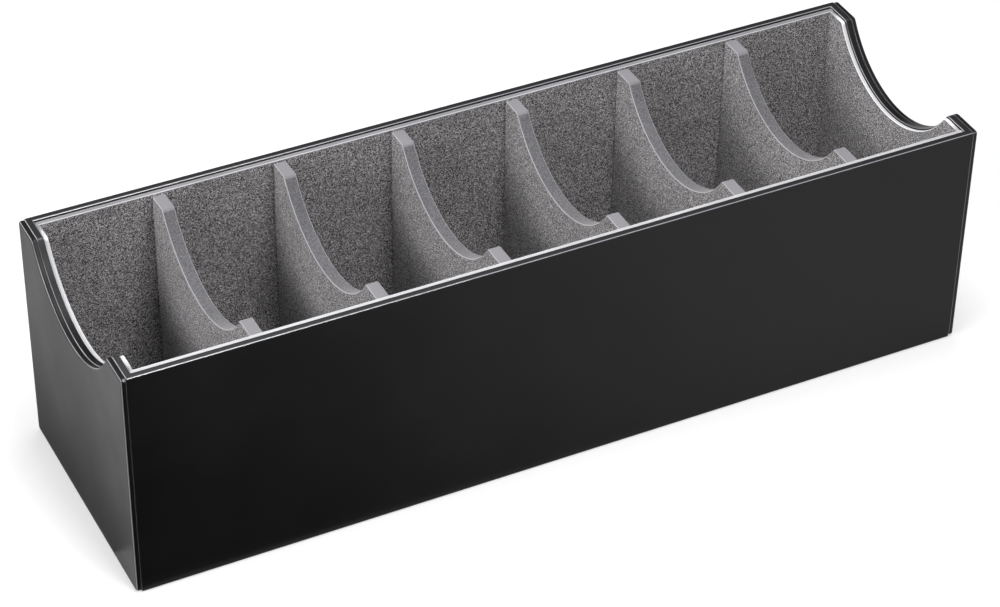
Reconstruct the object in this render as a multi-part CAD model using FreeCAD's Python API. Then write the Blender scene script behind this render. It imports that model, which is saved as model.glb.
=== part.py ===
"""Open-topped belt box: leather-covered walls with scooped ends, a suede lining and scooped dividers.

Millimetres. X runs along the length, the front faces -Y, and the origin is the middle of the underside.
"""
import FreeCAD, Part

import os
from math import hypot, sqrt

from FreeCAD import Vector

# Overall size
length = 500.0
depth = 148.0
height = 142.0
compartments = 7

# Sheet goods, and the glue between bonded pieces
leather = 0.7
suede = 0.5
underside = 0.8
glue = 0.05

# Boards and cards
long_board = 2.4
end_board = 2.4
base_board = 3.0
cheek_board = 1.5
long_card = 2.3
end_card = 1.3
floor_card = 1.2
divider_core = 6.2

# Scoop in the ends and dividers: a round dip between two flat lands, with a rounded nose at each land
land = 20.5
scoop_depth = 31.0
nose_radius = 3.0

# How far the tops of the linings and dividers lie under the rim
lining_drop = 1.0
divider_drop = 1.9

# How far each sheet is turned over its board
rim_turn_in = 18.0
base_turn_in = 12.0
cheek_turn_in = 14.0
suede_turn_in = 12.0
underside_margin = 4.0

# Rounded edges and corners
cheek_corner = 2.0
cheek_edge = 1.3
cheek_back_edge = 0.5
body_edge = 0.5
lining_edge = 0.4
divider_edge = 0.8
divider_corner = 1.5
divider_nose = 2.0

# Thickness of each covered panel
skin = leather + glue
nap = suede + glue
cheek = cheek_board + 2 * skin
end_wall = end_board + 2 * skin
long_wall = long_board + 2 * skin
end_lining = end_card + 2 * nap
long_lining = long_card + 2 * nap
divider = divider_core + 2 * nap

# Half sizes of the walls and of the space between the linings
cheek_x = length / 2
body_x = cheek_x - cheek - glue
cavity_x = body_x - end_wall
inside_x = cavity_x - glue - end_lining
body_y = depth / 2
cavity_y = body_y - long_wall
inside_y = cavity_y - glue - long_lining
compartment_pitch = (2 * inside_x + divider) / compartments

# Heights from the underside up
cover_z = underside + glue
board_z = cover_z + skin
floor_card_z = board_z + base_board + glue
floor_suede_z = floor_card_z + floor_card + glue
floor_z = floor_suede_z + suede
lining_z = floor_z + glue

# Centre of the scoop in the YZ plane
scoop_half_width = depth / 2 - land
scoop_radius = (scoop_half_width ** 2 + scoop_depth ** 2) / (2 * scoop_depth)
scoop_z = height - scoop_depth + scoop_radius

# A nose smaller than this is left sharp, and a face steeper than this is a side and not a top
smallest_nose = glue
top_slope = 0.1

ends = (("left", -1), ("right", 1))
long_sides = (("front", -1), ("back", 1))


def span(side, outer, inner):
    """Low and high coordinate of a layer between two half sizes, on side -1 or 1."""
    return tuple(sorted((side * outer, side * inner)))


def both(half):
    return (-half, half)


def block(x, y, z):
    """Box between the low and high values of each pair."""
    return Part.makeBox(x[1] - x[0], y[1] - y[0], z[1] - z[0], Vector(x[0], y[0], z[0]))


def nose_points(below, drop, full_nose):
    """Land end, middle and scoop end of the +Y nose, on a scoop this far under the rim's scoop.

    drop is how much further down the lands lie. full_nose is the nose's radius in the outermost layer. The
    middle is None where the nose has shrunk to a sharp corner.
    """
    radius = full_nose - below
    if radius < smallest_nose:
        top = height - drop - below
        corner = (sqrt((scoop_radius + below) ** 2 - (scoop_z - top) ** 2), top)
        return corner, None, corner
    reach = scoop_radius + full_nose
    nose_z = height - drop - full_nose
    nose_y = sqrt(reach ** 2 - (scoop_z - nose_z) ** 2)
    to_scoop = (-nose_y / reach, (scoop_z - nose_z) / reach)
    bisector = (to_scoop[0], to_scoop[1] + 1)
    scale = radius / hypot(*bisector)
    land_end = (nose_y, nose_z + radius)
    middle = (nose_y + scale * bisector[0], nose_z + scale * bisector[1])
    scoop_end = (nose_y + radius * to_scoop[0], nose_z + radius * to_scoop[1])
    return land_end, middle, scoop_end


def scooped_plate(x, half_depth, low, below, corner=0.0, foot=0.0, drop=0.0, full_nose=nose_radius):
    """Upright plate between two values of x, with the scoop in its top.

    below is how far its top lies under the rim, measured square to it, and drop is how much further down its
    lands lie. corner rounds its upper outside corners and foot its lower ones.
    """
    top = height - drop - below
    slack = corner * (1 - sqrt(0.5))
    foot_slack = foot * (1 - sqrt(0.5))
    land_end, nose_middle, scoop_end = nose_points(below, drop, full_nose)
    scoop_bottom = (0, scoop_z - scoop_radius - below)
    half = [
        ((half_depth - foot, low), (half_depth - foot_slack, low + foot_slack), (half_depth, low + foot)),
        ((half_depth, low + foot), None, (half_depth, top - corner)),
        ((half_depth, top - corner), (half_depth - slack, top - slack), (half_depth - corner, top)),
        ((half_depth - corner, top), None, land_end),
        (land_end, nose_middle, scoop_end),
    ]

    def at(point, side=1):
        return Vector(x[0], side * point[0], point[1])

    def edge(start, middle, end, start_side, end_side):
        if middle is None:
            return Part.makeLine(at(start, start_side), at(end, end_side))
        return Part.Arc(at(start, start_side), at(middle, end_side), at(end, end_side)).toShape()

    edges = []
    for side in both(1):
        edges += [edge(start, middle, end, side, side) for start, middle, end in half if start != end]
    edges.append(edge(scoop_end, scoop_bottom, scoop_end, -1, 1))
    edges.append(edge(half[0][0], None, half[0][0], -1, 1))
    outline = Part.Wire(Part.__sortEdges__(edges))
    return Part.Face(outline).extrude(Vector(x[1] - x[0], 0, 0))


def edges_at_x(shape, x):
    """Edges that lie in the plane at x."""
    boxes = ((edge, edge.BoundBox) for edge in shape.Edges)
    return [edge for edge, box in boxes if abs(box.XMin - x) < glue / 2 and abs(box.XMax - x) < glue / 2]


def looks_up(face):
    low_u, high_u, low_v, high_v = face.ParameterRange
    return face.normalAt((low_u + high_u) / 2, (low_v + high_v) / 2).z > top_slope


def top_edges(shape):
    """Edges between the faces that look up and the faces beside them."""
    edges = [edge for face in shape.Faces if looks_up(face) for edge in face.Edges]
    return [edge for edge in edges if sum(edge.isSame(other) for other in edges) == 1]


def rounded(shape, radius, edges):
    """Shape with these edges rounded, or as it is where an inner layer's radius has shrunk to nothing."""
    return shape.makeFillet(radius, edges) if radius > 0 else shape


def cheek_plate(side, inset):
    """Cheek on one end, with this much taken off all round."""
    outer = cheek_x - inset
    x = span(side, outer, cheek_x - cheek + inset)
    corner = max(0, cheek_corner - inset)
    plate = scooped_plate(x, body_y - inset, cover_z + inset, inset, corner, corner)
    return rounded(plate, cheek_edge - inset, edges_at_x(plate, side * outer))


def cheek_parts(side):
    """Board and leather of the cheek on one end. The leather is open behind, inside its turned-in margin."""
    cover = cheek_plate(side, 0)
    cover = rounded(cover, cheek_back_edge, edges_at_x(cover, side * (cheek_x - cheek)))
    window = block(
        span(side, cheek_x - cheek / 2, cheek_x - cheek),
        both(body_y - cheek_turn_in),
        (cover_z + cheek_turn_in, height - scoop_depth - cheek_turn_in),
    )
    return cheek_plate(side, skin), cover.cut(cheek_plate(side, leather)).cut(window)


def end_board_part(side):
    """Scooped board of an end wall, between the front and back boards."""
    outer = body_x - skin
    x = span(side, outer, outer - end_board)
    return scooped_plate(x, body_y - skin - long_board - glue, board_z, skin)


def long_board_part(side):
    outer = body_y - skin
    return block(both(body_x - skin), span(side, outer, outer - long_board), (board_z, height - skin))


def base_board_part():
    x = body_x - skin - end_board - glue
    y = body_y - skin - long_board - glue
    return block(both(x), both(y), (board_z, board_z + base_board))


def walls(inset):
    """The four walls as one scooped ring, with this much taken off all round."""
    low = cover_z + inset
    pieces = []
    for _, side in long_sides:
        y = span(side, body_y - inset, cavity_y + inset)
        pieces.append(block(both(body_x - inset), y, (low, height - inset)))
    for _, side in ends:
        x = span(side, body_x - inset, cavity_x + inset)
        pieces.append(scooped_plate(x, cavity_y + inset, low, inset))
    return pieces[0].multiFuse(pieces[1:]).removeSplitter()


def body_cover_part():
    """Leather round the four walls, over the rim, and turned in behind the linings and under the base."""
    cover = walls(0)
    cover = rounded(cover, body_edge, top_edges(cover)).cut(walls(leather))
    low = cover_z + leather
    y = both(cavity_y + leather)
    cover = cover.cut(block(both(cavity_x), y, (low, height - rim_turn_in)))
    cover = cover.cut(block(both(cavity_x + leather), y, (low, height - scoop_depth - rim_turn_in)))
    lap = block(both(cavity_x), both(cavity_y), (cover_z, low))
    window_x = cavity_x - base_turn_in
    window_y = cavity_y - base_turn_in
    lap = lap.cut(block(both(window_x), both(window_y), (cover_z, low)))
    return cover.fuse(lap).removeSplitter()


def underside_part():
    return block(both(cheek_x - underside_margin), both(body_y - underside_margin), (0, underside))


def floor_lining_parts():
    """Card and suede that cover the base board inside the walls."""
    x, y = both(cavity_x - glue), both(cavity_y - glue)
    card = block(x, y, (floor_card_z, floor_card_z + floor_card))
    return card, block(x, y, (floor_suede_z, floor_z))


def long_lining_parts(side):
    """Card of the front or back lining, and its suede, which is turned over the card's top."""
    back = cavity_y - glue
    top = height - lining_drop
    x = both(cavity_x - glue)
    card = block(x, span(side, back - nap, inside_y + nap), (lining_z, top - nap))
    pocket = block(x, span(side, back - suede, inside_y + suede), (lining_z, top - suede))
    cover = block(x, span(side, back, inside_y), (lining_z, top))
    cover = rounded(cover, lining_edge, top_edges(cover))
    window = block(x, span(side, back, back - suede), (lining_z, top - suede_turn_in))
    return card, cover.cut(pocket).cut(window)


def end_lining_parts(side):
    """Card and suede of an end lining, which stands between the front and back linings."""
    back = cavity_x - glue
    half_depth = inside_y - glue

    def layer(inset):
        x = span(side, back - inset, inside_x + inset)
        return scooped_plate(x, half_depth, lining_z, lining_drop + inset)

    cover = layer(0)
    cover = rounded(cover, lining_edge, top_edges(cover))
    window_top = height - scoop_depth - lining_drop - suede_turn_in
    window = block(span(side, back, back - suede), both(half_depth), (lining_z, window_top))
    return layer(nap), cover.cut(layer(suede)).cut(window)


def divider_parts(centre):
    """Board of the divider at this x, and the suede sleeve over its sides, ends and top."""
    half = divider / 2

    def layer(inset):
        x = (centre - half + inset, centre + half - inset)
        corner = max(0, divider_corner - inset)
        half_depth = inside_y - glue - inset
        return scooped_plate(x, half_depth, lining_z, inset, corner, 0, divider_drop, divider_nose)

    sleeve = layer(0)
    sides = edges_at_x(sleeve, centre - half) + edges_at_x(sleeve, centre + half)
    sleeve = rounded(sleeve, divider_edge, [edge for edge in sides if edge.BoundBox.ZMin > lining_z + glue])
    return layer(nap), sleeve.cut(layer(suede))


parts = {}
for name, side in ends:
    parts[f"{name}_cheek_board"], parts[f"{name}_cheek_cover"] = cheek_parts(side)
    parts[f"{name}_end_board"] = end_board_part(side)
    parts[f"{name}_lining_card"], parts[f"{name}_lining_suede"] = end_lining_parts(side)
for name, side in long_sides:
    parts[f"{name}_board"] = long_board_part(side)
    parts[f"{name}_lining_card"], parts[f"{name}_lining_suede"] = long_lining_parts(side)
parts["base_board"] = base_board_part()
parts["body_cover"] = body_cover_part()
parts["underside_sheet"] = underside_part()
parts["floor_lining_card"], parts["floor_lining_suede"] = floor_lining_parts()
for number in range(1, compartments):
    centre = number * compartment_pitch - inside_x - divider / 2
    core, sleeve = divider_parts(centre)
    parts[f"divider_{number}_core"] = core
    parts[f"divider_{number}_suede"] = sleeve

os.makedirs("parts", exist_ok=True)
for name, shape in parts.items():
    print(name, "valid" if shape.isValid() else "NOT VALID", len(shape.Solids), round(shape.Volume, 1))
    shape.exportStep(f"parts/{name}.step")
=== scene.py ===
"""Open-topped belt box dressed in black leather and grey suede, on a white studio floor.

Lengths are metres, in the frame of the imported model: X along the box, the front faces -Y, +Z up.
"""

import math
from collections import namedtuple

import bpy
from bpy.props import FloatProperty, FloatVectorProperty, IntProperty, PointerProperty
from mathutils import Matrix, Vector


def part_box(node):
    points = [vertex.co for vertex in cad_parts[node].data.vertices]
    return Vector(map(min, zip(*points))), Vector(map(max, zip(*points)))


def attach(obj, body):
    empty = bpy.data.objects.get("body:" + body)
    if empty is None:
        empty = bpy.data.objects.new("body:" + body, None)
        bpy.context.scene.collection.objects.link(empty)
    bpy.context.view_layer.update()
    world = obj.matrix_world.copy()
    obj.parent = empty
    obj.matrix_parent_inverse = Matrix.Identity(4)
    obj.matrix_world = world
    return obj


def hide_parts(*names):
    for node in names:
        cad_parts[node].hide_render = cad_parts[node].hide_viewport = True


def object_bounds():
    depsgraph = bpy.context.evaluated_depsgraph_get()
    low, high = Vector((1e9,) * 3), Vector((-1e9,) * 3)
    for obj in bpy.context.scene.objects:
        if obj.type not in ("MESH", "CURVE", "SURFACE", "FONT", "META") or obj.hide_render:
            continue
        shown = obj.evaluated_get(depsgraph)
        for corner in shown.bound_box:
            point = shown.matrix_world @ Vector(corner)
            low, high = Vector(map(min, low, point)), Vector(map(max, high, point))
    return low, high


bl_info = {
    "name": "Belt box",
    "version": (1, 0, 0),
    "blender": (4, 5, 0),
    "location": "3D View > Sidebar > Belt box",
    "description": "Dresses the packed belt box in leather and suede and sets up its studio",
    "category": "Object",
}

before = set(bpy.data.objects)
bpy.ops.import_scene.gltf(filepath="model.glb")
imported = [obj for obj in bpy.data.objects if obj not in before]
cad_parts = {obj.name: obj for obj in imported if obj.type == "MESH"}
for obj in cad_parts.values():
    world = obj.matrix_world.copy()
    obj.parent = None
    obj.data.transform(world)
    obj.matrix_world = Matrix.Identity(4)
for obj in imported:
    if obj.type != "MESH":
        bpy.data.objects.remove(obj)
cad_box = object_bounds()

MM = 0.001
PHOTO_WIDTH = 1000
SKIN_RUBBING_AND_PAINTED_LIGHT = "fold"
FILLET = "fillet"
BEVEL_WEIGHT = "bevel_weight_edge"
SIDES = (("left", -1), ("right", 1))
DIVIDERS = sorted(
    name.removesuffix("_suede")
    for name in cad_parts
    if name.startswith("divider") and name.endswith("_suede")
)
PANEL_TREE = "panel_from_outline"

# Two points or levels closer than this are taken as one
SLIVER = 0.01 * MM

# A form's faces below this level over its foot are taken off: just above the foot, that opens its bottom,
# and far below the foot, that keeps them all
OPEN_FROM = 0.1 * MM
KEEP_ALL = -1

# How far a skin is lightened or darkened, from 0 to 1, in the middle of an edge, in the middle of an upright
# edge, on a level top and on a scoop. On edges and tops this is partly real rubbing of stretched and pressed
# skin and partly painted highlight and painted top light; in the dividers' scoops it is painted shade.
RubbingAndPaintedLight = namedtuple("RubbingAndPaintedLight", "edge upright top scoop", defaults=(0, 0, 0, 0))
# Painted light: the front lining's top and edge are painted lighter than the back's
LONG_LINING_RUBBING_AND_LIGHT = {"front": RubbingAndPaintedLight(edge=1, top=0.74), "back": RubbingAndPaintedLight(edge=0.84, top=0.46)}


def linear(hex_colour):
    """Linear RGBA of an sRGB hex colour."""
    channels = [int(hex_colour[i : i + 2], 16) / 255 for i in (1, 3, 5)]
    return [c / 12.92 if c <= 0.04045 else ((c + 0.055) / 1.055) ** 2.4 for c in channels] + [1.0]


def length(name, description, millimetres):
    return FloatProperty(
        name=name, description=description, default=millimetres * MM, min=0, unit="LENGTH", subtype="DISTANCE"
    )


def steps(name, description, count, least):
    return IntProperty(name=name, description=description, default=count, min=least)


def colour(name, description, hex_colour):
    return FloatVectorProperty(
        name=name, description=description, default=linear(hex_colour), size=4, min=0, max=1, subtype="COLOR"
    )


def power(name, description, watts):
    return FloatProperty(name=name, description=description, default=watts, min=0, unit="POWER")


# Settings


class BeltBoxShape(bpy.types.PropertyGroup):
    land: length("Land", "Flat length at each end of a scooped top", 20.5)
    scoop_depth: length("Scoop depth", "How far a scoop dips under the rim", 31)
    nose_radius: length("Nose radius", "Rounding where a land turns down into the scoop", 3)
    lining_drop: length("Lining drop", "How far the linings' tops lie under the rim", 1.0)
    divider_drop: length("Divider drop", "How far the dividers' tops lie under the rim", 1.9)
    divider_nose: length("Divider nose", "Rounding where a divider's land turns down into its scoop", 2)
    divider_corner: length("Divider corner", "Rounding of a divider's upper outside corners", 1.5)
    long_wall: length("Long wall", "Front or back wall with its leather", 3.9)
    end_wall: length("End wall", "End wall with its leather, without the cheek", 3.9)
    leather: length("Leather", "Thickness of the leather", 0.7)
    suede: length("Suede", "Thickness of the suede", 0.5)
    cheek_corner: length("Cheek corner", "Rounding of a cheek's outline", 2)
    cheek_edge: length("Cheek edge", "Rounding of a cheek's outer edge", 1.3)
    cheek_back_edge: length("Cheek back edge", "Rounding of a cheek's edge beside the wall", 0.5)
    rim_edge: length("Rim edge", "Rounding of the walls' edges", 0.7)
    long_lining_edge: length("Long lining edge", "Rounding of the front and back linings' top edges", 1)
    end_lining_edge: length("End lining edge", "Rounding of the end linings' top edges", 0.6)
    divider_edge: length("Divider edge", "Rounding of a divider's top edges", 0.8)
    scoop_steps: steps("Scoop steps", "Straight pieces in a scoop's arc", 64, 8)
    round_steps: steps("Round steps", "Straight pieces in a small rounding", 6, 2)


class BeltBoxFinish(bpy.types.PropertyGroup):
    leather: colour("Leather", "Black of the leather", "#070708")
    # Painted highlight on the leather's edges, partly real rubbing
    leather_rubbed_edge_highlight: colour("Leather edge", "Grey of the leather where it is stretched over an edge", "#86868c")
    suede_dark: colour("Suede, dark grains", "Grey where the nap leans away", "#282528")
    suede_light: colour("Suede, light grains", "Grey where the nap leans towards the light", "#f2eef0")
    # Painted shade in the dividers' scoops
    suede_scoop_painted_shade: colour("Suede, scoops", "Grey of the nap brushed smooth in the dividers' scoops", "#545357")
    # Partly painted top light: tops lighter than the sides, partly real pressing of the nap
    suede_top_pressed_and_lit: colour("Suede, pressed", "Grey of the nap pressed flat on tops", "#7d7b7f")
    # Painted highlight on the suede's edges, partly real rubbing
    suede_rubbed_edge_highlight: colour("Suede edge", "Grey of the nap worn on the edges", "#ecebee")
    fibreboard: colour("Fibreboard", "Brown of the boards", "#8a6a4a")
    greyboard: colour("Greyboard", "Grey of the cards", "#8d8a84")
    felt: colour("Felt", "Black of the underside", "#1b1b1c")


class BeltBoxStudio(bpy.types.PropertyGroup):
    overhead: power("Overhead light", "Softbox above", 17)
    left: power("Left light", "Softbox on the left", 11)
    left_fill: power("Left fill", "Lamp on the left that no gloss shows", 5)
    front: power("Front light", "Softbox in front", 9)
    back: power("Back light", "Softbox behind", 2.5)
    front_strip: power("Front strip", "Lamp that shows only in the gloss of the front edges", 31)
    left_strip: power("Left strip", "Lamp that shows only in the gloss of the left edges", 18)
    sky: FloatProperty(name="Sky", description="Strength of the light from all round", default=0.25, min=0)
    floor: colour("Floor", "White of the floor", "#f4f4f4")


# Node building


def add(tree, kind, inputs=None, **settings):
    """Adds a node. inputs gives its sockets a value or links them to another node's socket."""
    node = tree.nodes.new(kind)
    for name, value in settings.items():
        setattr(node, name, value)
    for socket, value in (inputs or {}).items():
        if isinstance(value, bpy.types.NodeSocket):
            tree.links.new(value, node.inputs[socket])
        else:
            node.inputs[socket].default_value = value
    return node


def new_tree(name, inputs):
    """Empty geometry tree with these named inputs, and its input and output nodes."""
    tree = bpy.data.node_groups.new(name, "GeometryNodeTree")
    tree.interface.new_socket("Geometry", in_out="INPUT", socket_type="NodeSocketGeometry")
    tree.interface.new_socket("Geometry", in_out="OUTPUT", socket_type="NodeSocketGeometry")
    for label, kind in inputs.items():
        tree.interface.new_socket(label, in_out="INPUT", socket_type=f"NodeSocket{kind}")
    return tree, add(tree, "NodeGroupInput").outputs, add(tree, "NodeGroupOutput").inputs


def finish_tree(tree, geometry, material, output):
    """Ends a tree in plain, smooth geometry with its material."""
    smooth = add(tree, "GeometryNodeSetShadeSmooth", {"Geometry": geometry})
    plain = add(tree, "GeometryNodeRealizeInstances", {"Geometry": smooth.outputs[0]})
    painted = add(tree, "GeometryNodeSetMaterial", {"Geometry": plain.outputs[0], "Material": material})
    tree.links.new(painted.outputs[0], output)


def panel_tree():
    """Geometry nodes that fill an outline and give it thickness, made the first time that they are asked for.

    The outline's corners are rounded by their fillet attribute. The edges of the low and the high face get
    their share of the rounding that a Bevel modifier gives them next.
    """
    if PANEL_TREE in bpy.data.node_groups:
        return bpy.data.node_groups[PANEL_TREE]
    tree, given, result = new_tree(
        PANEL_TREE,
        {
            "Thickness": "Float",
            "Low Edge Share": "Float",
            "High Edge Share": "Float",
            "Round Steps": "Int",
            "Open Below": "Float",
            "Material": "Material",
        },
    )
    curve = add(tree, "GeometryNodeMeshToCurve", {"Mesh": given["Geometry"]})
    fillet = add(tree, "GeometryNodeInputNamedAttribute", {"Name": FILLET}, data_type="FLOAT")
    rounded = add(
        tree,
        "GeometryNodeFilletCurve",
        {
            "Curve": curve.outputs[0],
            "Count": given["Round Steps"],
            "Radius": fillet.outputs[0],
            "Limit Radius": True,
        },
        mode="POLY",
    )
    face = add(tree, "GeometryNodeFillCurve", {"Curve": rounded.outputs[0]}, mode="NGONS")
    solid = add(
        tree,
        "GeometryNodeExtrudeMesh",
        {"Mesh": face.outputs[0], "Offset Scale": given["Thickness"], "Individual": False},
    )
    back = add(tree, "GeometryNodeFlipFaces", {"Mesh": face.outputs[0]})
    both = add(tree, "GeometryNodeJoinGeometry", {"Geometry": solid.outputs["Mesh"]})
    tree.links.new(back.outputs[0], both.inputs[0])
    closed = add(tree, "GeometryNodeMergeByDistance", {"Geometry": both.outputs[0], "Distance": SLIVER})
    place = add(tree, "ShaderNodeSeparateXYZ", {0: add(tree, "GeometryNodeInputPosition").outputs[0]})
    depth_in = place.outputs["Z"]
    nearly = add(tree, "ShaderNodeMath", {0: given["Thickness"], 1: SLIVER}, operation="SUBTRACT")
    high = add(tree, "FunctionNodeCompare", {"A": depth_in, "B": nearly.outputs[0]}, operation="GREATER_THAN")
    low = add(tree, "FunctionNodeCompare", {"A": depth_in, "B": SLIVER}, operation="LESS_THAN")
    geometry = closed.outputs[0]
    for chosen, share in ((low, "Low Edge Share"), (high, "High Edge Share")):
        geometry = add(
            tree,
            "GeometryNodeStoreNamedAttribute",
            {
                "Geometry": geometry,
                "Selection": chosen.outputs[0],
                "Name": BEVEL_WEIGHT,
                "Value": given[share],
            },
            data_type="FLOAT",
            domain="EDGE",
        ).outputs[0]
    opened = open_bottom(tree, geometry, given["Open Below"])
    finish_tree(tree, opened, given["Material"], result[0])
    return tree


def open_bottom(tree, geometry, level):
    """Takes off the faces whose middle lies below this level, in an outline whose Y is its height."""
    place = add(tree, "ShaderNodeSeparateXYZ", {0: add(tree, "GeometryNodeInputPosition").outputs[0]})
    below = add(tree, "FunctionNodeCompare", {"A": place.outputs["Y"], "B": level}, operation="LESS_THAN")
    inputs = {"Geometry": geometry, "Selection": below.outputs[0]}
    return add(tree, "GeometryNodeDeleteGeometry", inputs, domain="FACE").outputs[0]


def well_tree():
    """Geometry nodes that cut the well between four walls out of a solid block, and open its underside."""
    tree, given, result = new_tree(
        "walls_round_a_well",
        {"Well Size": "Vector", "Well Middle": "Vector", "Open Below": "Float", "Material": "Material"},
    )
    well = add(tree, "GeometryNodeMeshCube", {"Size": given["Well Size"]})
    placed = add(
        tree,
        "GeometryNodeTransform",
        {"Geometry": well.outputs[0], "Translation": given["Well Middle"]},
    )
    walls = add(tree, "GeometryNodeMeshBoolean", {"Mesh 1": given["Geometry"]}, solver="EXACT")
    tree.links.new(placed.outputs[0], walls.inputs["Mesh 2"])
    opened = open_bottom(tree, walls.outputs["Mesh"], given["Open Below"])
    finish_tree(tree, opened, given["Material"], result[0])
    return tree


def add_tree_modifier(piece, tree, values):
    modifier = piece.modifiers.new(tree.name, "NODES")
    modifier.node_group = tree
    for item in tree.interface.items_tree:
        if item.in_out == "INPUT" and item.name in values:
            modifier[item.identifier] = values[item.name]


# Outlines and panels


def scoop_arc(shape, below):
    """Radius and height of the centre of the scoop's arc, this far below the arc in the rim."""
    box_depth = cad_box[1].y - cad_box[0].y
    half_width = box_depth / 2 - shape.land
    radius = (half_width**2 + shape.scoop_depth**2) / (2 * shape.scoop_depth)
    centre = cad_box[1].z - shape.scoop_depth + radius
    return radius + below, centre


def scooped_outline(shape, half_depth, base, below, nose, drop=0.0, corner=0.0, foot=0.0):
    """Corner points (depth, height, fillet) of an upright panel with the scoop in its top.

    below is how far its top lies under the rim, measured square to it, and drop is how much further down its
    lands lie. nose, corner and foot round the scoop's ends, the upper outside corners and the lower ones.
    """
    top = cad_box[1].z - drop - below
    radius, centre = scoop_arc(shape, below)
    half_width = math.sqrt(radius**2 - (centre - top) ** 2)
    opening = math.asin(half_width / radius)
    points = [(-half_depth, base, foot), (half_depth, base, foot), (half_depth, top, corner)]
    for step in range(shape.scoop_steps + 1):
        angle = opening * (1 - 2 * step / shape.scoop_steps)
        fillet = nose if step in (0, shape.scoop_steps) else 0.0
        points.append((radius * math.sin(angle), centre - radius * math.cos(angle), fillet))
    points.append((-half_depth, top, corner))
    return points


def plain_outline(low, high, corner=0.0):
    """Corner points of a rectangle between two corners."""
    left, bottom = low
    right, top = high
    places = [(left, bottom), (right, bottom), (right, top), (left, top)]
    return [(*place, corner) for place in places]


def outline_object(name, points):
    """Object whose mesh is the closed outline, with each corner's fillet."""
    mesh = bpy.data.meshes.new(name)
    count = len(points)
    mesh.from_pydata([(x, y, 0) for x, y, _ in points], [(i, (i + 1) % count) for i in range(count)], [])
    fillets = mesh.attributes.new(FILLET, "FLOAT", "POINT")
    fillets.data.foreach_set("value", [fillet for _, _, fillet in points])
    piece = bpy.data.objects.new(name, mesh)
    bpy.context.scene.collection.objects.link(piece)
    return piece


def across(place):
    """Placing of a panel that stands across the box: its outline in YZ, its thickness along +X from place."""
    return Matrix(((0, 0, 1, place), (1, 0, 0, 0), (0, 1, 0, 0), (0, 0, 0, 1)))


def along(place):
    """Placing of a panel that stands along the box: its outline in XZ, its thickness along -Y from place."""
    return Matrix(((1, 0, 0, 0), (0, 0, -1, place), (0, 1, 0, 0), (0, 0, 0, 1)))


def lying(place):
    """Placing of a panel that lies flat: its outline in XY, its thickness along +Z from place."""
    return Matrix.Translation((0, 0, place))


def bake(piece):
    """Makes the piece's modifiers part of its mesh, which holds one material."""
    bpy.context.view_layer.update()
    mesh = bpy.data.meshes.new_from_object(piece.evaluated_get(bpy.context.evaluated_depsgraph_get()))
    old = piece.data
    piece.modifiers.clear()
    piece.data = mesh
    bpy.data.meshes.remove(old)
    mesh.name = piece.name


def round_and_thicken(piece, edge, sheet, by_weight=True):
    """Modifiers that round a form's edges and leave a sheet of this thickness of it.

    The edges are those with a bevel weight, or all that turn sharply.
    """
    sharp_turn = math.radians(50)
    bevel = piece.modifiers.new("rounded edges", "BEVEL")
    bevel.width = edge
    bevel.segments = 5
    bevel.limit_method = "WEIGHT" if by_weight else "ANGLE"
    bevel.angle_limit = sharp_turn
    if sheet:
        solidify = piece.modifiers.new("sheet", "SOLIDIFY")
        solidify.thickness = sheet
        solidify.offset = -1
        solidify.use_even_offset = True
    normals = piece.modifiers.new("flat faces stay flat", "WEIGHTED_NORMAL")
    normals.keep_sharp = True


def store_rubbing_and_painted_light(piece, shape, rubbing_and_light_levels):
    """Stores how much the skin is lightened or darkened: 0 on a flat side, and up to 1 in the middle of an
    edge.

    This is partly real rubbing of stretched and pressed skin and partly painted light: painted highlights on
    edges, painted top light and painted shade in the scoops. Past the noses a slope along the box is an edge,
    and between them it is the scoop. The highest points count as level, and the others by how far they face
    up, which sets how much painted top light or scoop shade they get.
    """
    highest = max(vertex.co.z for vertex in piece.data.vertices)
    edge_reach = 1 * MM
    past_noses = cad_box[1].y - shape.land + 2 * shape.nose_radius
    values = []
    for vertex in piece.data.vertices:
        x, y, z = (abs(c) for c in vertex.normal)
        # Painted highlight on edges, partly real rubbing
        sideways = x * math.hypot(rubbing_and_light_levels.upright * y, rubbing_and_light_levels.edge * z)
        lengthwise = rubbing_and_light_levels.edge * y * z if abs(vertex.co.y) > past_noses else 0
        edge = 2 * max(sideways, lengthwise)
        upward = rubbing_and_light_levels.top if vertex.co.z > highest - edge_reach else rubbing_and_light_levels.scoop
        # Painted top light and scoop shade, more on what faces up
        lift = 1.0 if vertex.co.z > highest - SLIVER else min(1.0, 2 * vertex.normal.z)
        values.append(min(1.0, max(edge, upward * lift)))
    attribute = piece.data.attributes.new(SKIN_RUBBING_AND_PAINTED_LIGHT, "FLOAT", "POINT")
    attribute.data.foreach_set("value", values)


def settle(piece, node, rubbing_and_light_levels):
    """Stores the piece's rubbing and painted light, makes it stand for its node and ride with the box."""
    store_rubbing_and_painted_light(piece, bpy.context.scene.belt_box_shape, rubbing_and_light_levels)
    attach(piece, "root")
    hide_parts(node)


def panel(name, points, thickness, placing, edges, sheet, base, material, shape, closed=False):
    """Upright or lying panel of covered board, as the skin that shows.

    edges are the roundings of the edges at its low and its high face. sheet is the skin's thickness, or 0
    for a panel that is solid. base is the lowest level of its outline, open unless the panel is closed.
    """
    widest = max(*edges, 1e-9)
    piece = outline_object(name, points)
    values = {
        "Thickness": thickness,
        "Low Edge Share": edges[0] / widest,
        "High Edge Share": edges[1] / widest,
        "Round Steps": shape.round_steps,
        "Open Below": base + (KEEP_ALL if closed else OPEN_FROM),
        "Material": material,
    }
    add_tree_modifier(piece, panel_tree(), values)
    round_and_thicken(piece, widest, sheet)
    bake(piece)
    piece.data.transform(placing)
    return piece


# Materials


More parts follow.
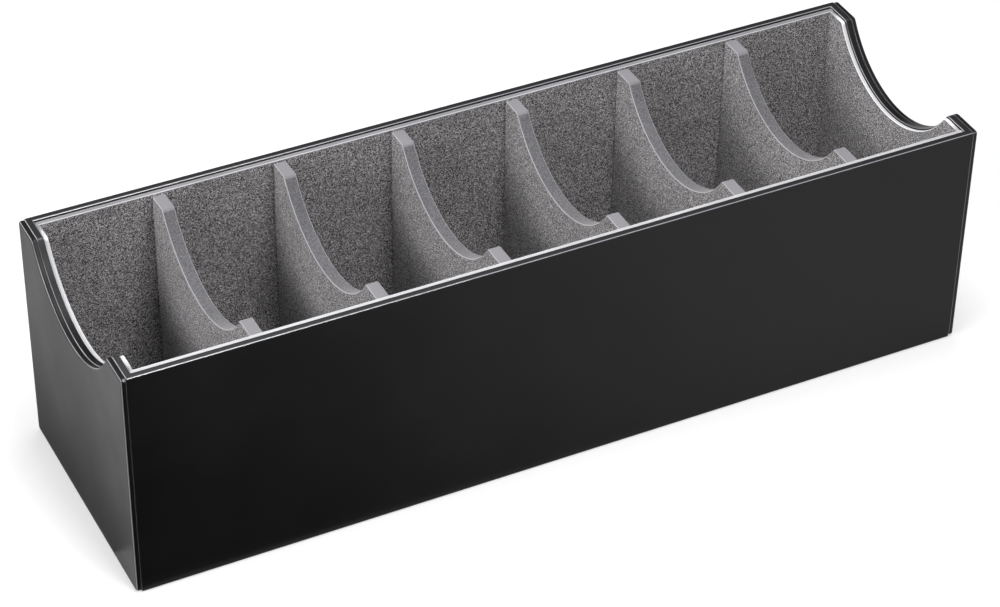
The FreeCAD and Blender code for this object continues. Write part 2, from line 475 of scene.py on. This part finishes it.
def new_material(name):
    """Empty material with its tree, its output and the coordinates that patterns follow, in metres."""
    material = bpy.data.materials.new(name)
    material.use_nodes = True
    tree = material.node_tree
    tree.nodes.clear()
    output = add(tree, "ShaderNodeOutputMaterial")
    coordinates = add(tree, "ShaderNodeTexCoord").outputs["Object"]
    return material, tree, output.inputs["Surface"], coordinates


def black_leather(finish):
    """Bonded leather, embossed with a fine grain and sealed with a satin polyurethane coat.

    The faces stay black and smooth, with faint upright brush marks. Where the skin is stretched over an edge
    the grain flattens and its coat shines, and a lighter grey is painted there as a highlight, partly real
    rubbing, so edges show thin bright lines.
    """
    material, tree, surface, coordinates = new_material("bonded leather, black satin")
    grain_size = 1.3 * MM
    grain_depth = 0.1 * MM
    brush_width = 1.4 * MM
    brush_length = 28 * MM
    cloud_size = 45 * MM
    pebbles = add(
        tree,
        "ShaderNodeTexVoronoi",
        {"Vector": coordinates, "Scale": 1 / grain_size, "Smoothness": 0.6},
        feature="SMOOTH_F1",
    )
    stretched = add(
        tree,
        "ShaderNodeMapping",
        {"Vector": coordinates, "Scale": (1 / brush_width, 1 / brush_width, 1 / brush_length)},
    )
    brush = add(tree, "ShaderNodeTexNoise", {"Vector": stretched.outputs[0], "Scale": 1.0, "Detail": 2.0})
    cloud = add(tree, "ShaderNodeTexNoise", {"Vector": coordinates, "Scale": 1 / cloud_size, "Detail": 3.0})
    fold = add(tree, "ShaderNodeAttribute", attribute_name=SKIN_RUBBING_AND_PAINTED_LIGHT).outputs["Fac"]
    relief = add(
        tree,
        "ShaderNodeMath",
        {0: pebbles.outputs["Distance"], 1: brush.outputs[0]},
        operation="ADD",
    )
    bump = add(
        tree,
        "ShaderNodeBump",
        {"Height": relief.outputs[0], "Strength": 0.1, "Distance": grain_depth},
    )
    # Painted highlight on the edges, partly real rubbing: the edge grey is mixed over the black
    leather_highlight_mask = add(tree, "ShaderNodeMapRange", {"Value": fold, "From Min": 0.6, "From Max": 0.95})
    tint = add(
        tree,
        "ShaderNodeMix",
        {"Factor": leather_highlight_mask.outputs[0], "A": list(finish.leather), "B": list(finish.leather_rubbed_edge_highlight)},
        data_type="RGBA",
    )
    satin = add(
        tree,
        "ShaderNodeMapRange",
        {"Value": cloud.outputs[0], "From Min": 0.3, "From Max": 0.7, "To Min": 0.34, "To Max": 0.42},
    )
    rough = add(
        tree,
        "ShaderNodeMapRange",
        {"Value": fold, "From Min": 0.2, "From Max": 0.9, "To Min": satin.outputs[0], "To Max": 0.25},
    )
    polish = add(tree, "ShaderNodeMapRange", {"Value": fold, "From Min": 0.5, "From Max": 0.9})
    skin = add(
        tree,
        "ShaderNodeBsdfPrincipled",
        {
            "Base Color": tint.outputs["Result"],
            "Roughness": rough.outputs[0],
            "Normal": bump.outputs[0],
            "Specular IOR Level": 0.15,
            "Coat Weight": polish.outputs[0],
            "Coat Roughness": 0.14,
            "Coat IOR": 1.5,
        },
    )
    tree.links.new(skin.outputs[0], surface)
    return material


def grey_suede(finish):
    """Microfibre suede, brushed so that its nap leans in small tufts that catch the light unevenly.

    In the dividers' scoops it is smooth and painted darker as shade. On tops and edges it is pressed flat and
    looks smoother, and it is painted lighter there: partly real rubbing, partly painted top light and painted
    highlights.
    """
    material, tree, surface, coordinates = new_material("microfibre suede, grey")
    # Single fibres are too fine to show, so the nap is drawn in tufts
    tuft_size = 0.55 * MM
    tuft_depth = 0.3 * MM
    patch_size = 30 * MM
    tufts = add(
        tree,
        "ShaderNodeTexNoise",
        {"Vector": coordinates, "Scale": 1 / tuft_size, "Detail": 1.0, "Roughness": 0.5, "Distortion": 2.0},
    )
    patches = add(tree, "ShaderNodeTexNoise", {"Vector": coordinates, "Scale": 1 / patch_size, "Detail": 2.0})
    fold = add(tree, "ShaderNodeAttribute", attribute_name=SKIN_RUBBING_AND_PAINTED_LIGHT).outputs["Fac"]
    speckle = add(
        tree,
        "ShaderNodeMapRange",
        {"Value": tufts.outputs[0], "From Min": 0.535, "From Max": 0.6},
    )
    nap_tint = add(
        tree,
        "ShaderNodeMix",
        {"Factor": speckle.outputs[0], "A": list(finish.suede_dark), "B": list(finish.suede_light)},
        data_type="RGBA",
    )
    # Where the nap is smooth: painted shade in the dividers' scoops, and less relief there and on tops
    pressed = add(
        tree,
        "ShaderNodeMapRange",
        {"Value": fold, "From Min": 0.1, "From Max": 0.25, "To Min": 0.0, "To Max": 0.85},
    )
    scoop_painted_shade_tint = add(
        tree,
        "ShaderNodeMix",
        {"Factor": pressed.outputs[0], "A": nap_tint.outputs["Result"], "B": list(finish.suede_scoop_painted_shade)},
        data_type="RGBA",
    )
    # Partly painted top light: tops lighter, partly real pressing of the nap
    on_top = add(tree, "ShaderNodeMapRange", {"Value": fold, "From Min": 0.33, "From Max": 0.45})
    pressed_and_lit_top_tint = add(
        tree,
        "ShaderNodeMix",
        {"Factor": on_top.outputs[0], "A": scoop_painted_shade_tint.outputs["Result"], "B": list(finish.suede_top_pressed_and_lit)},
        data_type="RGBA",
    )
    # Painted highlight on edges, partly real rubbing
    rubbed_and_lit = add(tree, "ShaderNodeMapRange", {"Value": fold, "From Min": 0.6, "From Max": 0.95})
    tint = add(
        tree,
        "ShaderNodeMix",
        {"Factor": rubbed_and_lit.outputs[0], "A": pressed_and_lit_top_tint.outputs["Result"], "B": list(finish.suede_rubbed_edge_highlight)},
        data_type="RGBA",
    )
    relief = add(
        tree,
        "ShaderNodeMapRange",
        {"Value": pressed.outputs[0], "To Min": 0.6, "To Max": 0.15},
    )
    bump = add(
        tree,
        "ShaderNodeBump",
        {"Height": speckle.outputs[0], "Strength": relief.outputs[0], "Distance": tuft_depth},
    )
    shade = add(
        tree,
        "ShaderNodeMapRange",
        {"Value": patches.outputs[0], "From Min": 0.3, "From Max": 0.7, "To Min": 0.92, "To Max": 1.08},
    )
    brushed = add(
        tree,
        "ShaderNodeHueSaturation",
        {"Color": tint.outputs["Result"], "Value": shade.outputs[0]},
    )
    nap = add(
        tree,
        "ShaderNodeBsdfPrincipled",
        {
            "Base Color": brushed.outputs[0],
            "Roughness": 0.9,
            "Normal": bump.outputs[0],
            "Specular IOR Level": 0.15,
            "Sheen Weight": 0.25,
            "Sheen Roughness": 0.5,
        },
    )
    tree.links.new(nap.outputs[0], surface)
    return material


def pressed_fibre(name, colour_value, fibre_size):
    """Board, card or felt pressed from fibres: matt, with fine flecks."""
    fleck_depth = 0.1 * MM
    material, tree, surface, coordinates = new_material(name)
    flecks = add(tree, "ShaderNodeTexNoise", {"Vector": coordinates, "Scale": 1 / fibre_size, "Detail": 3.0})
    value = add(
        tree,
        "ShaderNodeMapRange",
        {"Value": flecks.outputs[0], "From Min": 0.3, "From Max": 0.7, "To Min": 0.75, "To Max": 1.15},
    )
    tint = add(tree, "ShaderNodeHueSaturation", {"Color": list(colour_value), "Value": value.outputs[0]})
    bump = add(
        tree,
        "ShaderNodeBump",
        {"Height": flecks.outputs[0], "Strength": 0.3, "Distance": fleck_depth},
    )
    board = add(
        tree,
        "ShaderNodeBsdfPrincipled",
        {"Base Color": tint.outputs[0], "Roughness": 0.85, "Normal": bump.outputs[0]},
    )
    tree.links.new(board.outputs[0], surface)
    return material


MATERIALS = {}


def finish_of(context, name):
    """The named material, made the first time that it is asked for."""
    finish = context.scene.belt_box_finish
    makers = {
        "leather": lambda: black_leather(finish),
        "suede": lambda: grey_suede(finish),
        "fibreboard": lambda: pressed_fibre("fibreboard, raw", finish.fibreboard, 1.5 * MM),
        "greyboard": lambda: pressed_fibre("greyboard, raw", finish.greyboard, 1 * MM),
        "felt": lambda: pressed_fibre("felt, black", finish.felt, 1.2 * MM),
    }
    if name not in MATERIALS:
        MATERIALS[name] = makers[name]()
    return MATERIALS[name]


# Pieces


class BELTBOX_OT_boards(bpy.types.Operator):
    """Give the boards and cards inside the skins their raw finish"""

    bl_idname = "belt_box.boards"
    bl_label = "Boards and cards"

    def execute(self, context):
        for name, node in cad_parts.items():
            kind = "greyboard" if "card" in name else "fibreboard"
            node.data.materials.clear()
            node.data.materials.append(finish_of(context, kind))
        return {"FINISHED"}


class BELTBOX_OT_walls(bpy.types.Operator):
    """Cover the four walls in one skin of leather that goes over the rim"""

    bl_idname = "belt_box.walls"
    bl_label = "Leather on the walls"

    def execute(self, context):
        shape = context.scene.belt_box_shape
        low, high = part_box("body_cover")
        leather = finish_of(context, "leather")
        piece = outline_object("body_skin", scooped_outline(shape, high.y, low.z, 0, shape.nose_radius))
        block = {
            "Thickness": high.x - low.x,
            "Round Steps": shape.round_steps,
            "Open Below": low.z + KEEP_ALL,
        }
        add_tree_modifier(piece, panel_tree(), block)
        well = {
            "Well Size": 2 * Vector((high.y - shape.long_wall, high.z, high.x - shape.end_wall)),
            "Well Middle": Vector((0, high.z / 2, high.x)),
            "Open Below": low.z + OPEN_FROM,
            "Material": leather,
        }
        add_tree_modifier(piece, well_tree(), well)
        round_and_thicken(piece, shape.rim_edge, shape.leather, by_weight=False)
        bake(piece)
        piece.data.transform(across(low.x))
        # The rim's edges get painted highlights and its top a little painted top light, partly real rubbing
        settle(piece, "body_cover", RubbingAndPaintedLight(edge=1, upright=0.66, top=0.615))
        return {"FINISHED"}


class BELTBOX_OT_cheeks(bpy.types.Operator):
    """Cover the cheek on each end in leather with a soft outer edge"""

    bl_idname = "belt_box.cheeks"
    bl_label = "Leather on the cheeks"

    def execute(self, context):
        shape = context.scene.belt_box_shape
        for name, side in SIDES:
            node = f"{name}_cheek_cover"
            low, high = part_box(node)
            edges = (shape.cheek_edge, shape.cheek_back_edge)[::-side]
            corner = shape.cheek_corner
            piece = panel(
                f"{name}_cheek_skin",
                scooped_outline(shape, high.y, low.z, 0, shape.nose_radius, 0, corner, corner),
                thickness=high.x - low.x,
                placing=across(low.x),
                edges=edges,
                sheet=shape.leather,
                base=low.z,
                material=finish_of(context, "leather"),
                shape=shape,
                closed=True,
            )
            # The cheeks' edges get painted highlights, partly real rubbing
            settle(piece, node, RubbingAndPaintedLight(edge=0.73, upright=0.84))
        return {"FINISHED"}


class BELTBOX_OT_linings(bpy.types.Operator):
    """Cover the cards of the floor and the four walls in suede"""

    bl_idname = "belt_box.linings"
    bl_label = "Suede linings"

    def execute(self, context):
        shape = context.scene.belt_box_shape
        suede = finish_of(context, "suede")
        edge = shape.end_lining_edge
        for name, _ in SIDES:
            node = f"{name}_lining_suede"
            low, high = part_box(node)
            nose = shape.nose_radius - shape.lining_drop
            points = scooped_outline(shape, high.y, low.z, shape.lining_drop, nose)
            piece = panel(
                f"{name}_lining_skin",
                points,
                thickness=high.x - low.x,
                placing=across(low.x),
                edges=(edge, edge),
                sheet=shape.suede,
                base=low.z,
                material=suede,
                shape=shape,
            )
            # The end linings' edges, tops and scoops are painted lighter: painted highlights and top light,
            # partly real rubbing
            settle(piece, node, RubbingAndPaintedLight(edge=1, upright=1, top=0.88, scoop=0.76))
        edge = shape.long_lining_edge
        for name, rubbing_and_light_levels in LONG_LINING_RUBBING_AND_LIGHT.items():
            node = f"{name}_lining_suede"
            low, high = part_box(node)
            points = plain_outline((low.x, low.z), (high.x, high.z))
            piece = panel(
                f"{name}_lining_skin",
                points,
                thickness=high.y - low.y,
                placing=along(high.y),
                edges=(edge, edge),
                sheet=shape.suede,
                base=low.z,
                material=suede,
                shape=shape,
            )
            settle(piece, node, rubbing_and_light_levels)
        low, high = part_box("floor_lining_suede")
        points = plain_outline((low.x, low.y), (high.x, high.y))
        piece = panel(
            "floor_lining_skin",
            points,
            thickness=high.z - low.z,
            placing=lying(low.z),
            edges=(0, 0),
            sheet=0,
            base=low.y,
            material=suede,
            shape=shape,
            closed=True,
        )
        settle(piece, "floor_lining_suede", RubbingAndPaintedLight())
        return {"FINISHED"}


class BELTBOX_OT_dividers(bpy.types.Operator):
    """Pull a suede sleeve over each divider"""

    bl_idname = "belt_box.dividers"
    bl_label = "Divider sleeves"

    def execute(self, context):
        shape = context.scene.belt_box_shape
        suede = finish_of(context, "suede")
        edge = shape.divider_edge
        for name in DIVIDERS:
            low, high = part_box(f"{name}_suede")
            nose = shape.divider_nose
            points = scooped_outline(shape, high.y, low.z, 0, nose, shape.divider_drop, shape.divider_corner)
            piece = panel(
                f"{name}_skin",
                points,
                thickness=high.x - low.x,
                placing=across(low.x),
                edges=(edge, edge),
                sheet=shape.suede,
                base=low.z,
                material=suede,
                shape=shape,
            )
            # The dividers' edges and tops are painted lighter and their scoops darker: painted highlights,
            # top light and shade, partly real rubbing
            settle(piece, f"{name}_suede", RubbingAndPaintedLight(edge=0.75, upright=0.75, top=0.5, scoop=0.3))
        return {"FINISHED"}


class BELTBOX_OT_underside(bpy.types.Operator):
    """Close the underside with its felt sheet"""

    bl_idname = "belt_box.underside"
    bl_label = "Underside sheet"

    def execute(self, context):
        shape = context.scene.belt_box_shape
        low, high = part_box("underside_sheet")
        points = plain_outline((low.x, low.y), (high.x, high.y), shape.cheek_corner)
        felt = finish_of(context, "felt")
        piece = panel(
            "underside_skin",
            points,
            thickness=high.z - low.z,
            placing=lying(low.z),
            edges=(0, 0),
            sheet=0,
            base=low.y,
            material=felt,
            shape=shape,
            closed=True,
        )
        settle(piece, "underside_sheet", RubbingAndPaintedLight())
        return {"FINISHED"}


# Studio


def seen_directly(tree):
    """1 for the rays that show the surroundings: from the camera, in gloss and through glass."""
    path = add(tree, "ShaderNodeLightPath")
    seen = path.outputs["Is Camera Ray"]
    for kind in ("Is Glossy Ray", "Is Transmission Ray"):
        seen = add(tree, "ShaderNodeMath", {0: seen, 1: path.outputs[kind]}, operation="MAXIMUM").outputs[0]
    return seen


def white_world(studio):
    """World that is seen as plain white and lights the box with the sky's strength."""
    world = bpy.data.worlds.new("white studio")
    world.use_nodes = True
    tree = world.node_tree
    tree.nodes.clear()
    strength = add(
        tree,
        "ShaderNodeMapRange",
        {"Value": seen_directly(tree), "To Min": studio.sky, "To Max": 1.0},
    )
    sky = add(tree, "ShaderNodeBackground", {"Color": (1, 1, 1, 1), "Strength": strength.outputs[0]})
    tree.links.new(sky.outputs[0], add(tree, "ShaderNodeOutputWorld").inputs["Surface"])
    bpy.context.scene.world = world


def floor_material(studio):
    """Matt white sweep. Where it is seen, part of its white is its own, so that the shadow on it stays pale.

    Away from the box that part grows to the whole, so that the sweep meets the white background.
    """
    material, tree, surface, coordinates = new_material("studio sweep, matt white")
    own_share = 0.35
    shadow_end = 0.55
    white_from = 1.1
    distance = add(tree, "ShaderNodeVectorMath", {0: coordinates}, operation="LENGTH")
    paint = add(tree, "ShaderNodeBsdfDiffuse", {"Color": list(studio.floor)})
    glow = add(tree, "ShaderNodeEmission", {"Color": (1, 1, 1, 1), "Strength": 1.0})
    own = add(
        tree,
        "ShaderNodeMapRange",
        {
            "Value": distance.outputs["Value"],
            "From Min": shadow_end,
            "From Max": white_from,
            "To Min": own_share,
        },
        interpolation_type="SMOOTHSTEP",
    )
    share = add(tree, "ShaderNodeMath", {0: seen_directly(tree), 1: own.outputs[0]}, operation="MULTIPLY")
    mixed = add(tree, "ShaderNodeMixShader", {0: share.outputs[0], 1: paint.outputs[0], 2: glow.outputs[0]})
    tree.links.new(mixed.outputs[0], surface)
    return material


def softbox(name, place, width, height, watts):
    """Area lamp that faces the box."""
    middle = Vector((0, 0, 0.1))
    light = bpy.data.lights.new(name, "AREA")
    light.shape = "RECTANGLE"
    light.size = width
    light.size_y = height
    light.energy = watts
    lamp = bpy.data.objects.new(name, light)
    lamp.location = place
    lamp.rotation_euler = (middle - Vector(place)).to_track_quat("-Z", "Y").to_euler()
    bpy.context.scene.collection.objects.link(lamp)
    return lamp


def sheet_on_stage(name, corners, material):
    """Flat sheet of the studio between four corners."""
    mesh = bpy.data.meshes.new(name)
    mesh.from_pydata(corners, [], [(0, 1, 2, 3)])
    mesh.materials.append(material)
    sheet = bpy.data.objects.new(name, mesh)
    bpy.context.scene.collection.objects.link(sheet)
    return sheet


def only_in_gloss(piece):
    """Hides a lamp or card from every ray but the glossy ones."""
    for ray in ("camera", "diffuse", "transmission", "volume_scatter", "shadow"):
        setattr(piece, f"visible_{ray}", False)


def flag_on_floor(name, x_span, y_span, material):
    """Card just above the floor that darkens what the leather's gloss shows of it."""
    above_floor = 1 * MM
    left, right = x_span
    front, back = y_span
    corners = [(left, front), (right, front), (right, back), (left, back)]
    only_in_gloss(sheet_on_stage(name, [(x, y, above_floor) for x, y in corners], material))


def flag_material(thick_at, thick_cover, thin_at, thin_cover):
    """Black flock card whose cover changes along X, from the thick place to the thin one."""
    material, tree, surface, coordinates = new_material("studio flag, black flock")
    place = add(tree, "ShaderNodeSeparateXYZ", {0: coordinates})
    cover = add(
        tree,
        "ShaderNodeMapRange",
        {
            "Value": place.outputs["X"],
            "From Min": thick_at,
            "From Max": thin_at,
            "To Min": thick_cover,
            "To Max": thin_cover,
        },
        interpolation_type="SMOOTHSTEP",
    )
    black = add(tree, "ShaderNodeBsdfDiffuse", {"Color": linear("#050505")})
    clear = add(tree, "ShaderNodeBsdfTransparent")
    card = add(tree, "ShaderNodeMixShader", {0: cover.outputs[0], 1: clear.outputs[0], 2: black.outputs[0]})
    tree.links.new(card.outputs[0], surface)
    return material


def photo_camera():
    """Camera at the photograph's place: turned right from +Y, looking down and slightly rolled."""
    place = Vector((-634.7, -1236.6, 1128.5)) * MM
    turn = math.radians(27.02)
    tilt = math.radians(37.68)
    roll = math.radians(0.88)
    focal_pixels = 3185.6
    sensor = 36
    forward = Vector((math.sin(turn) * math.cos(tilt), math.cos(turn) * math.cos(tilt), -math.sin(tilt)))
    level = Vector((math.cos(turn), -math.sin(turn), 0))
    upright = level.cross(forward)
    right = math.cos(roll) * level + math.sin(roll) * upright
    up = math.cos(roll) * upright - math.sin(roll) * level
    data = bpy.data.cameras.new("camera")
    data.sensor_width = sensor
    data.lens = focal_pixels / PHOTO_WIDTH * sensor
    camera = bpy.data.objects.new("camera", data)
    rotation = Matrix((right, up, -forward)).transposed().to_4x4()
    camera.matrix_world = Matrix.Translation(place) @ rotation
    bpy.context.scene.collection.objects.link(camera)
    bpy.context.scene.camera = camera


class BELTBOX_OT_stage(bpy.types.Operator):
    """Set the white floor, the softboxes and the camera"""

    bl_idname = "belt_box.stage"
    bl_label = "Studio"

    def execute(self, context):
        studio = context.scene.belt_box_studio
        white_world(studio)
        reach = 6.0
        corners = [(-reach, -reach, 0), (reach, -reach, 0), (reach, reach, 0), (-reach, reach, 0)]
        sheet_on_stage("floor", corners, floor_material(studio))
        flock = flag_material(thick_at=-0.25, thick_cover=0.98, thin_at=0.22, thin_cover=0.0)
        flag_on_floor("front_flag", x_span=(-0.6, 0.22), y_span=(-0.45, -0.076), material=flock)
        flock = flag_material(thick_at=-0.2505, thick_cover=0.6, thin_at=-0.305, thin_cover=0.0)
        flag_on_floor("left_flag", x_span=(-0.305, -0.2505), y_span=(-0.04, 0.5), material=flock)
        flock = flag_material(thick_at=0.0, thick_cover=0.85, thin_at=1.0, thin_cover=0.92)
        corners = [(-0.6, 1.1, 0.3), (1.6, 1.1, 0.3), (1.6, 1.0, 1.45), (-0.6, 1.0, 0.75)]
        only_in_gloss(sheet_on_stage("back_flag", corners, flock))
        softbox("overhead softbox", (0.05, 0.0, 1.7), width=0.9, height=0.7, watts=studio.overhead)
        softbox("left softbox", (-1.3, -0.2, 0.8), width=1.2, height=0.5, watts=studio.left)
        fill = softbox("left fill", (-1.35, -0.1, 0.9), width=1.0, height=0.6, watts=studio.left_fill)
        fill.visible_glossy = False
        softbox("front softbox", (0.0, -0.8, 1.1), width=0.4, height=0.4, watts=studio.front)
        softbox("back softbox", (0.5, 1.5, 1.45), width=1.4, height=0.7, watts=studio.back)
        strip = softbox("front strip", (0.15, -1.4, 0.4), width=0.6, height=0.25, watts=studio.front_strip)
        only_in_gloss(strip)
        strip = softbox("left strip", (-1.2, 0.6, 0.55), width=2.0, height=0.4, watts=studio.left_strip)
        only_in_gloss(strip)
        photo_camera()
        context.scene.view_settings.view_transform = "Standard"
        return {"FINISHED"}


class VIEW3D_PT_belt_box(bpy.types.Panel):
    """Settings and steps of the belt box"""

    bl_idname = "VIEW3D_PT_belt_box"
    bl_label = "Belt box"
    bl_space_type = "VIEW_3D"
    bl_region_type = "UI"
    bl_category = "Belt box"

    def draw(self, context):
        for group_name, kind in GROUPS.items():
            box = self.layout.box()
            for name in kind.__annotations__:
                box.prop(getattr(context.scene, group_name), name)
        for step in STEPS:
            self.layout.operator(step.bl_idname)


STEPS = (
    BELTBOX_OT_boards,
    BELTBOX_OT_walls,
    BELTBOX_OT_cheeks,
    BELTBOX_OT_linings,
    BELTBOX_OT_dividers,
    BELTBOX_OT_underside,
    BELTBOX_OT_stage,
)
GROUPS = {
    "belt_box_shape": BeltBoxShape,
    "belt_box_finish": BeltBoxFinish,
    "belt_box_studio": BeltBoxStudio,
}


def register():
    for kind in (*GROUPS.values(), *STEPS, VIEW3D_PT_belt_box):
        bpy.utils.register_class(kind)
    for name, kind in GROUPS.items():
        setattr(bpy.types.Scene, name, PointerProperty(type=kind))


def unregister():
    for name in GROUPS:
        delattr(bpy.types.Scene, name)
    for kind in (VIEW3D_PT_belt_box, *reversed(STEPS), *GROUPS.values()):
        bpy.utils.unregister_class(kind)


def main():
    register()
    for step in STEPS:
        group, name = step.bl_idname.split(".")
        getattr(getattr(bpy.ops, group), name)()


if __name__ == "__main__":
    main()
